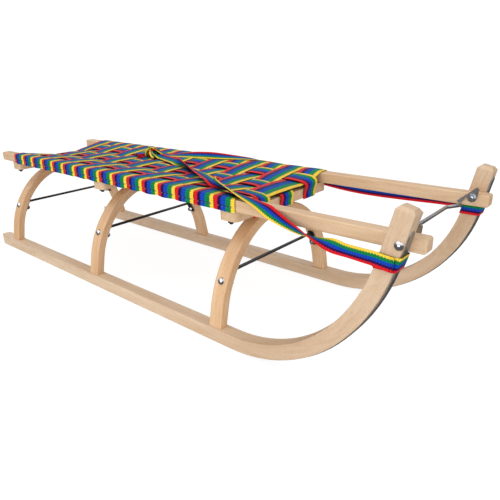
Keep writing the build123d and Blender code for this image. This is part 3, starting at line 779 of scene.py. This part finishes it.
def crossing_sign(row, column):
    """+1 where the cross strap is the upper one."""
    return 1 if (row + column) % 2 == 0 else -1


def flattened(wave):
    """A cosine with broad tops, from -1 to 1."""
    return math.tanh(WAVE_HARDNESS * wave) / math.tanh(WAVE_HARDNESS)


def wave_across(row, y):
    """Where a cross strap is between its lowest (-1) and highest (+1), at y."""
    pitch = LONG_STRAP_Y[0] - LONG_STRAP_Y[1]
    wave = crossing_sign(row, 1) * flattened(math.cos(math.pi * y / pitch))
    edge = LONG_STRAP_Y[0] + LONG_WIDTH / 2
    if abs(y) > edge:
        wave *= max(0.0, 1 - (abs(y) - edge) / (RAIL_INNER_Y - edge))
    return wave


def wave_along(column, x):
    """Where a long strap is between its lowest and highest, at x."""
    first = STRAPS_REAR_X + STRAP_PITCH / 2
    last = STRAPS_REAR_X + (STRAP_COUNT - 0.5) * STRAP_PITCH
    phase = (min(max(x, first), last) - STRAPS_REAR_X) / STRAP_PITCH - 0.5
    return -crossing_sign(0, column) * flattened(math.cos(math.pi * phase))


def crowned(across, wave):
    """Rise of the middle of a strap over its edges, where it lies on top."""
    return CROWN * middling(across) * max(0.0, wave)


# %% [markdown]
# ### Cross straps
# Each hangs between the rails, folds over their top edges and comes down their outer faces. There
# it puffs out a little above and below the seam that sews it down.

# %% Cross straps
CORNER = 0.0032  # radius of the fold over the rail's top edge
SEAM_Z = RAIL_BOTTOM_Z + 0.0068
SEAM_REACH = 0.0017  # half the height of the groove that the seam pulls in
EDGE_PUFF, MIDDLE_PUFF = 0.0006, 0.0011
UNEVEN_PUFF = 0.0004  # how far one wrap may differ from the next
TOP_PUFF = 0.0006  # rise of the strap's middle on top of the rail
FOLD_Z, FOLD_HEIGHT = RAIL_TOP_Z - 0.002, 0.003  # the puff grows in this far below the fold
FOOT_HEIGHT = 0.004  # the lowest part of the wrap, whose edge is uneven
FOOT_RISE, FOOT_WAVE = -0.0009, 0.0005
SEAT_SPREAD = 0.0013  # the straps spread a little where no rail holds them
SPREAD_REACH = 0.02  # from the rail to the full spread
DROP_STEPS, SEAT_STEPS = 24, 66


def cross_strap_line(row):
    """Places (y, z, wave) along a cross strap's middle, from the left rail's foot to the right."""
    x = STRAPS_REAR_X + (row + 0.5) * STRAP_PITCH
    outer = RAIL_OUTER_Y + CLEAR + WEBBING / 2
    top = ON_RAIL_Z
    foot = RAIL_BOTTOM_Z - 0.0004
    half = [(outer, foot + (top - CORNER - foot) * k / DROP_STEPS, 0.0) for k in range(DROP_STEPS)]
    half += [(y, z, 0.0) for y, z in arc(outer - CORNER, top - CORNER, CORNER, range(0, 91, 15))]
    half.append(((outer - CORNER + RAIL_INNER_Y) / 2, top, 0.0))
    seat = []
    for k in range(SEAT_STEPS + 1):
        y = RAIL_INNER_Y * (1 - 2 * k / SEAT_STEPS)
        wave = wave_across(row, y)
        seat.append((y, seat_level(x, y) + wave * WEAVE_LIFT, wave))
    return half + seat + [(-y, z, wave) for y, z, wave in reversed(half)]


def cross_strap(row):
    """One woven strap across the seat."""
    line = cross_strap_line(row)
    reach = lengths_along([Vector((0, y, z)) for y, z, _ in line])
    start = STRAPS_REAR_X + row * STRAP_PITCH
    ease = random.uniform(-UNEVEN_PUFF, UNEVEN_PUFF)

    def on_seat(x, y, z, across, wave):
        x += (0.5 - across) * SEAT_SPREAD * min(1.0, (RAIL_INNER_Y - abs(y)) / SPREAD_REACH)
        slope = seat_level(start + STRAP_WIDTH, y) - seat_level(start, y)
        return Vector((x, y, z + slope * (0.5 - across) + crowned(across, wave)))

    def on_rail(x, y, z, middle):
        below = within((FOLD_Z - z) / FOLD_HEIGHT)
        groove = math.exp(-((z - SEAM_Z) / SEAM_REACH) ** 2)
        puff = (EDGE_PUFF + MIDDLE_PUFF * middle) * (1 - groove) + ease
        foot = max(0.0, 1 - (z - RAIL_BOTTOM_Z) / FOOT_HEIGHT)
        hang = FOOT_RISE * middle + FOOT_WAVE * math.sin(40 * x * math.pi + row)
        out = abs(y) + below * max(0.0, puff)
        return Vector((x, math.copysign(out, y), z + foot * hang + (1 - below) * TOP_PUFF * middle))

    def place(k, across):
        y, z, wave = line[k]
        x = start + (1 - across) * STRAP_WIDTH
        if abs(y) < RAIL_INNER_Y:
            return on_seat(x, y, z, across, wave)
        return on_rail(x, y, z, middling(across))

    new_strap(f"seat_strap_across_{row + 1:02d}", reach, SEAT_ROWS, place, WEBBING,
              SEAT_WEBBING, "seat_webbing", [f"cross_strap_{row + 1:02d}"])


for row in range(STRAP_COUNT):
    cross_strap(row)

# %% [markdown]
# ### Long straps
# Each is turned down over the first and the last crossbar. The front ends of the outer two stand
# out a little more than the middle one's, and the rear ends lie lower than the seat.

# %% Long straps
FOLD_START = 0.026  # a fold's smooth line starts this far in from the strap's end
REAR_FOLD = (0.0004, 0.0055)  # bulge of a fold, and how far it is lowered
FRONT_FOLDS = ((0.0045, 0.0006), (0.002, 0.0006), (0.0045, 0.0006))
FOLD_STEPS, CROSSING_STEPS = 6, 12


def end_fold(y, x_end, z_top, z_foot, outwards, bulge, lowered):
    """Line of a strap's end: a soft fold over the end crossbar and a drop down its face."""
    drop = z_top - z_foot
    out = outwards * bulge
    route = [(x_end - outwards * FOLD_START, z_top),
             (x_end - outwards * 0.014, z_top - lowered * 0.35),
             (x_end - outwards * 0.003, z_top - 0.0014 - lowered),
             (x_end + out, z_top - 0.006 - lowered), (x_end + out, z_top - 0.012 - lowered),
             (x_end, z_top - drop * 0.66 - lowered * 0.3),
             (x_end, z_foot + drop * 0.16), (x_end, z_foot)]
    return spline_points([(x * 1000, y * 1000, z * 1000) for x, z in route], FOLD_STEPS)


def long_strap(column):
    """One woven strap along the seat, turned down over the end crossbars."""
    side = LONG_STRAPS[column]
    low, high = LONG_BOXES[column]
    centre_y = LONG_STRAP_Y[column]
    rear, front = low[0] + WEBBING / 2, high[0] - WEBBING / 2

    def level(x):
        return seat_level(x, centre_y) + wave_along(column, x) * WEAVE_LIFT

    rear_fold = end_fold(centre_y, rear, level(rear + FOLD_START), low[2], -1, *REAR_FOLD)[::-1]
    front_fold = end_fold(centre_y, front, level(front - FOLD_START), low[2], 1,
                          *FRONT_FOLDS[column])
    first, last = rear_fold[-1].x, front_fold[0].x
    steps = STRAP_COUNT * CROSSING_STEPS
    middle = [first + (last - first) * k / steps for k in range(1, steps)]
    line = rear_fold + [Vector((x, centre_y, level(x))) for x in middle] + front_fold
    woven = range(len(rear_fold), len(rear_fold) + len(middle))

    def place(k, across):
        here = line[k]
        offset = (0.5 - across) * LONG_WIDTH
        tilt = seat_level(here.x, centre_y + offset) - seat_level(here.x, centre_y)
        share = within((here.z - RAIL_BOTTOM_Z) / (level(front) - RAIL_BOTTOM_Z))
        rise = crowned(across, wave_along(column, here.x)) if k in woven else 0.0
        return Vector((here.x, centre_y + offset, here.z + tilt * share + rise))

    new_strap("seat_strap_along_" + side, lengths_along(line), SEAT_ROWS, place, WEBBING,
              LONG_WEBBING, "seat_webbing", ["long_strap_" + side])


for column in range(len(LONG_STRAPS)):
    long_strap(column)

# %% [markdown]
# ## Seams of the wraps
# The wraps are sewn down along the lower part of the rails, with a few uneven stitches in each.

# %% Seams
SEAM_SHARES = (0.24, 0.42, 0.62, 0.8)  # where the stitches are, across one strap
SEAM_STANDS_OUT = 0.0004
SEAM_UNEVEN = 0.0006
STITCH_LENGTH, STITCH_WIDTH = 0.0056, 0.0010


def wrap_seam(out, name):
    """A row of stitches through the wraps along one rail."""
    bm = bmesh.new()
    y = out * (RAIL_OUTER_Y + CLEAR + WEBBING + SEAM_STANDS_OUT)
    for row in range(STRAP_COUNT):
        for share in SEAM_SHARES:
            x = STRAPS_REAR_X + row * STRAP_PITCH + STRAP_WIDTH * share
            place = Vector((x, y, SEAM_Z + random.uniform(-SEAM_UNEVEN, SEAM_UNEVEN)))
            slant = Vector((1, 0, random.uniform(-0.3, 0.05))).normalized()
            add_stitch(bm, place, slant, Vector((0, out, 0)), STITCH_LENGTH, STITCH_WIDTH)
    new_piece(name, bm, THREAD, "seat_webbing")


wrap_seam(1, "wrap_seam_left")
wrap_seam(-1, "wrap_seam_right")

# %% [markdown]
# ## Beech
# The wood is pale, lacquered beech. Its grain follows each bent piece, so one group straightens the
# place round a bend, and a second takes a place whose X runs along the fibres and gives broad tone,
# fine fibres and the short dark flecks that mark beech.

# %% Bent fibres group
bent, given, result = new_group(
    "bent fibres",
    (("Along", FLOAT, 0.0), ("Up", FLOAT, 0.0), ("Across", FLOAT, 0.0), ("Start", FLOAT, 0.0),
     ("Centre", FLOAT, 0.3), ("Radius", FLOAT, 0.3), ("Turn", FLOAT, 1.3)),
    (("Vector", VECTOR),))
calc = partial(maths, bent)
along = calc("SUBTRACT", given["Along"], given["Start"])
up = calc("SUBTRACT", given["Up"], given["Centre"])
down = calc("MULTIPLY", up, -1.0)
angle = calc("ARCTAN2", calc("MAXIMUM", along, 0.0), down)
angle = calc("MINIMUM", calc("MAXIMUM", angle, 0.0), given["Turn"])
cosine, sine = calc("COSINE", angle), calc("SINE", angle)
fibre = calc("MULTIPLY_ADD", along, cosine, calc("MULTIPLY", up, sine))
fibre = calc("MULTIPLY_ADD", angle, given["Radius"], fibre)
depth = calc("SUBTRACT", calc("MULTIPLY", up, cosine), calc("MULTIPLY", along, sine))
straightened = {0: fibre, 1: given["Across"], 2: depth}
feed(bent, result, {"Vector": first_output(bent, "ShaderNodeCombineXYZ", straightened)})

# %% Beech grain group
BROAD_SHARE, FINE_SHARE, RING_SHARE = 0.9, 0.55, 0.3  # of each noise in the tone
TONE_LIGHT, TONE_DARK = 0.5, 1.08  # sums of the noises that give the two colours
RING_COUNT = 9.0
FLECK_FROM, FLECK_FULL = 0.64, 0.7
FLECK_TINT = (0.6, 0.48, 0.4, 1)
FIBRE_ROUGHNESS, POLISH = 0.25, 0.32

grain, given, result = new_group(
    "beech grain",
    (("Along Fibres", VECTOR, None), ("Light", COLOUR, srgb(228, 200, 168)),
     ("Dark", COLOUR, srgb(205, 166, 126)), ("Flecks", FLOAT, 0.45)),
    (("Color", COLOUR), ("Height", FLOAT), ("Roughness", FLOAT)))


def grain_noise(stretch, scale, detail, roughness=0.55):
    """Noise in the grain group, finer across the fibres than along them."""
    place = {"Vector": given["Along Fibres"], "Scale": stretch}
    return noise(grain, first_output(grain, "ShaderNodeMapping", place), scale, detail, roughness)


calc = partial(maths, grain)
broad = grain_noise((1.0, 9.0, 9.0), 5.0, 3.0)
rings = grain_noise((0.12, 1.6, 1.0), 40.0, 1.0)
rings = calc("PINGPONG", calc("MULTIPLY", rings, RING_COUNT), 0.5)
fine = grain_noise((0.6, 16.0, 16.0), 48.0, 5.0, 0.65)
fleck = grain_noise((1.0, 4.0, 4.0), 300.0, 1.0)
tone = calc("MULTIPLY_ADD", broad, BROAD_SHARE, calc("MULTIPLY", fine, FINE_SHARE))
tone = calc("MULTIPLY_ADD", rings, RING_SHARE, tone)
tone = map_range(grain, tone, TONE_LIGHT, TONE_DARK)
colour = blend_colour(grain, tone, given["Light"], given["Dark"])
fleck_mask = calc("MULTIPLY", map_range(grain, fleck, FLECK_FROM, FLECK_FULL), given["Flecks"])
fleck_colour = blend_colour(grain, 1.0, given["Dark"], FLECK_TINT, "MULTIPLY")
colour = blend_colour(grain, fleck_mask, colour, fleck_colour)
feed(grain, result, {"Color": colour, "Height": calc("SUBTRACT", fine, fleck_mask),
                     "Roughness": calc("MULTIPLY_ADD", fine, FIBRE_ROUGHNESS, POLISH)})

# %% [markdown]
# ## Wood materials
# A material may darken along one axis: the runners darken past the start of their bend, and on the
# arches painted shade darkens them towards their tops, under the crossbars and the seat. The edges
# look softly rounded, and a thin coat of lacquer lies over the grain.

# %% Wood materials
# a tint multiplied in along one axis: darkening past the runners' bend, and painted shade at the
# arches' tops
DARKENING_AND_SHADE_TINT = (0.74, 0.66, 0.58, 1)
DARKENING_AND_SHADE_REACH = 0.15  # from where the darkening sets in to where it is full
EDGE_RADIUS = 0.0016
GRAIN_DEPTH, GRAIN_BUMP = 0.0004, 0.12
LACQUER, LACQUER_ROUGHNESS = 0.2, 0.3
X, Z = 0, 2


def beech_material(name, light, dark, fibres, darkening_and_shade_share=0.0, axis=X, darkening_and_shade_from=0.0):
    """Lacquered beech, darkened by a share past a place along one axis; fibres(tree, place) turns
    the place so that its X runs along the fibres."""
    material, tree, shader = new_material(name)
    place = node(tree, "ShaderNodeTexCoord").outputs["Object"]
    values = {"Along Fibres": fibres(tree, place), "Light": light, "Dark": dark}
    pattern = node(tree, "ShaderNodeGroup", values, node_tree=grain).outputs
    bump = first_output(tree, "ShaderNodeBump", {
        "Height": pattern["Height"], "Strength": GRAIN_BUMP, "Distance": GRAIN_DEPTH,
        "Normal": first_output(tree, "ShaderNodeBevel", {"Radius": EDGE_RADIUS}, samples=4)})
    darkening_and_shade = map_range(tree, axes(tree, place)[axis], darkening_and_shade_from,
                        darkening_and_shade_from + DARKENING_AND_SHADE_REACH, 0.0, darkening_and_shade_share)
    colour = blend_colour(tree, darkening_and_shade, pattern["Color"], DARKENING_AND_SHADE_TINT, "MULTIPLY")
    feed(tree, shader, {
        "Base Color": colour, "Roughness": pattern["Roughness"], "Normal": bump,
        "Coat Weight": LACQUER, "Coat Roughness": LACQUER_ROUGHNESS})
    return material


def rail_fibres(tree, place):
    """Fibres that run along the sled."""
    return place


def crossbar_fibres(tree, place):
    """Fibres that run across the sled, from another part of the plank."""
    return first_output(tree, "ShaderNodeMapping", {
        "Vector": place, "Rotation": (0, 0, math.radians(90)), "Location": (0.2, 0.4, 0.1)})


def runner_fibres(tree, place):
    """Fibres that run along the ground and then up round the bend into the horn."""
    x, y, z = axes(tree, place)
    values = {"Along": x, "Up": z, "Across": y,
              "Start": 0.286, "Centre": 0.2736, "Radius": 0.26, "Turn": math.radians(76)}
    return first_output(tree, "ShaderNodeGroup", values, node_tree=bent)


def arch_fibres(tree, place):
    """Fibres that run over the crown of a leg arch and down both its legs."""
    x, y, z = axes(tree, place)
    up = maths(tree, "MULTIPLY", z, -1.0)
    values = {"Along": maths(tree, "ABSOLUTE", y), "Up": up, "Across": x,
              "Start": -0.033, "Centre": -0.0214, "Radius": 0.192, "Turn": math.radians(78.5)}
    return first_output(tree, "ShaderNodeGroup", values, node_tree=bent)


PALE = (srgb(230, 207, 180), srgb(208, 176, 142))
FRESH = (srgb(224, 194, 160), srgb(202, 164, 124))
# painted shade and warm bounced light: the arches' palette is the same beech, made more orange and
# darker
WARM_SHADED = (srgb(230, 194, 154), srgb(204, 158, 112))
RAIL_WOOD = beech_material("beech rails", *FRESH, rail_fibres)
CROSSBAR_WOOD = beech_material("beech crossbars", *FRESH, crossbar_fibres)
RUNNER_WOOD = beech_material("beech runners", *PALE, runner_fibres, 0.55, X, 0.18)
# painted shade: the arches darken towards their tops, under the crossbars and the seat
ARCH_WOOD = beech_material("beech arches", *WARM_SHADED, arch_fibres, 0.6, Z, 0.1)

# %% [markdown]
# ## Steel
# The struts and the upright bolts are dark steel, the stay and the shoes are a lighter grey, and
# the other bolts are plated.

# %% Steel
PATCH_SCALE, PATCH_ROUGHNESS = 60.0, 0.2  # size and strength of the unevenness in the polish


def metal_material(name, colour, roughness):
    """Plain metal with slight unevenness in its polish."""
    material, tree, shader = new_material(name)
    place = node(tree, "ShaderNodeTexCoord").outputs["Object"]
    uneven = maths(tree, "MULTIPLY_ADD", noise(tree, place, PATCH_SCALE, 4.0),
                   PATCH_ROUGHNESS, roughness - PATCH_ROUGHNESS / 2)
    feed(tree, shader, {"Base Color": colour, "Roughness": uneven, "Metallic": 1.0})
    return material


DARK_STEEL = metal_material("dark steel", srgb(98, 101, 108), 0.34)
STAY_STEEL = metal_material("stay steel", srgb(168, 171, 176), 0.3)
SHOE_STEEL = metal_material("runner steel", srgb(164, 166, 170), 0.38)
BRIGHT_STEEL = metal_material("plated steel", srgb(214, 216, 222), 0.14)

# %% [markdown]
# ## Finishes for the solids
# Every solid gets the finish of the first row whose text its name starts with.

# %% Finishes
FINISHES = (("seat_rail", RAIL_WOOD), ("runner_shoe", SHOE_STEEL), ("runner", RUNNER_WOOD),
            ("crossbar", CROSSBAR_WOOD), ("leg_arch", ARCH_WOOD), ("strut_bolts", BRIGHT_STEEL),
            ("strut", DARK_STEEL), ("front_stay", STAY_STEEL), ("horn_bolt", BRIGHT_STEEL),
            ("rail_bolts", DARK_STEEL), ("tow_", TOW_WEBBING))
for name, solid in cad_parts.items():
    finishes = [material for start, material in FINISHES if name.startswith(start)]
    if finishes:
        solid.data.materials.clear()
        solid.data.materials.append(finishes[0])

# %% [markdown]
# ## Floor and light
# A plain white floor and an even white sky, with three large soft lamps to give the wood its form:
# one above on the right, a weak one in front and a low one on the right. Polished metal sees a
# darker floor and horizon.

# %% Floor
FLOOR_SIZE, FLOOR_DROP = 12.0, 0.0005
FLOOR_GLOW, MIRRORED_GLOW = 1.12, 0.06  # as seen, and as polished metal sees it
SEEN_SHARE, DIFFUSE_SHARE, MIRRORED_SHARE = 0.8, 0.3, 0.92  # of a glow, for each kind of ray
WHITE = (1, 1, 1, 1)

bm = bmesh.new()
bmesh.ops.create_grid(bm, x_segments=1, y_segments=1, size=FLOOR_SIZE)
floor_mesh = finished_mesh(bm, "floor")
floor = add_object("floor", floor_mesh)
floor.location.z = -FLOOR_DROP
material, tree, shader = new_material("floor")
feed(tree, shader, {"Base Color": (0.9, 0.9, 0.9, 1), "Roughness": 0.9, "Specular IOR Level": 0.0})
glow = first_output(tree, "ShaderNodeEmission", {"Color": WHITE, "Strength": FLOOR_GLOW})
dark = first_output(tree, "ShaderNodeEmission", {"Color": WHITE, "Strength": MIRRORED_GLOW})
ray = node(tree, "ShaderNodeLightPath").outputs
diffuse = maths(tree, "MULTIPLY", ray["Is Diffuse Ray"], DIFFUSE_SHARE)
seen = maths(tree, "MULTIPLY_ADD", ray["Is Camera Ray"], SEEN_SHARE, diffuse)
mixed = first_output(tree, "ShaderNodeMixShader", {0: seen, 1: shader.outputs[0], 2: glow})
mirrored = maths(tree, "MULTIPLY", ray["Is Glossy Ray"], MIRRORED_SHARE)
mixed = first_output(tree, "ShaderNodeMixShader", {0: mirrored, 1: mixed, 2: dark})
feed(tree, tree.nodes["Material Output"], {"Surface": mixed})
floor_mesh.materials.append(material)

# %% Sky
SKY_LIGHT, SKY_SEEN = 0.78, 1.05  # as it lights the sled, and as seen behind it
HORIZON_RISE, HORIZON_TOP = 0.15, 0.75  # heights between which the mirrored sky brightens
HORIZON_DARK, ZENITH_BRIGHT = 0.1, 1.3

world = bpy.data.worlds.new("sky")
bpy.context.scene.world = world
world.use_nodes = True
sky = world.node_tree
ray = node(sky, "ShaderNodeLightPath").outputs
strength = maths(sky, "MULTIPLY_ADD", ray["Is Camera Ray"], SKY_SEEN - SKY_LIGHT, SKY_LIGHT)
upwards = node(sky, "ShaderNodeTexCoord").outputs["Generated"]
mirrored = map_range(sky, axes(sky, upwards)[2], HORIZON_RISE, HORIZON_TOP,
                     HORIZON_DARK, ZENITH_BRIGHT)
glossy = ray["Is Glossy Ray"]
strength = maths(sky, "ADD", maths(sky, "MULTIPLY", strength, maths(sky, "SUBTRACT", 1.0, glossy)),
                 maths(sky, "MULTIPLY", mirrored, glossy))
feed(sky, sky.nodes["Background"], {"Color": WHITE, "Strength": strength})


# %% Lamps
def area_lamp(name, place, target, size, power):
    """A large soft lamp aimed at a point."""
    data = bpy.data.lights.new(name, "AREA")
    data.size = size
    data.energy = power
    lamp = add_object(name, data)
    lamp.location = place
    lamp.rotation_euler = (Vector(target) - Vector(place)).to_track_quat("-Z", "Y").to_euler()


area_lamp("key", (-0.4, -0.9, 2.3), (0.0, 0.0, 0.1), 1.4, 13.0)
area_lamp("fill", (2.2, 0.2, 1.4), (0.2, 0.0, 0.1), 1.6, 5.0)
area_lamp("front", (0.7, -2.2, 0.45), (0.0, 0.0, 0.12), 1.6, 20.0)
bpy.context.scene.view_settings.view_transform = "Standard"
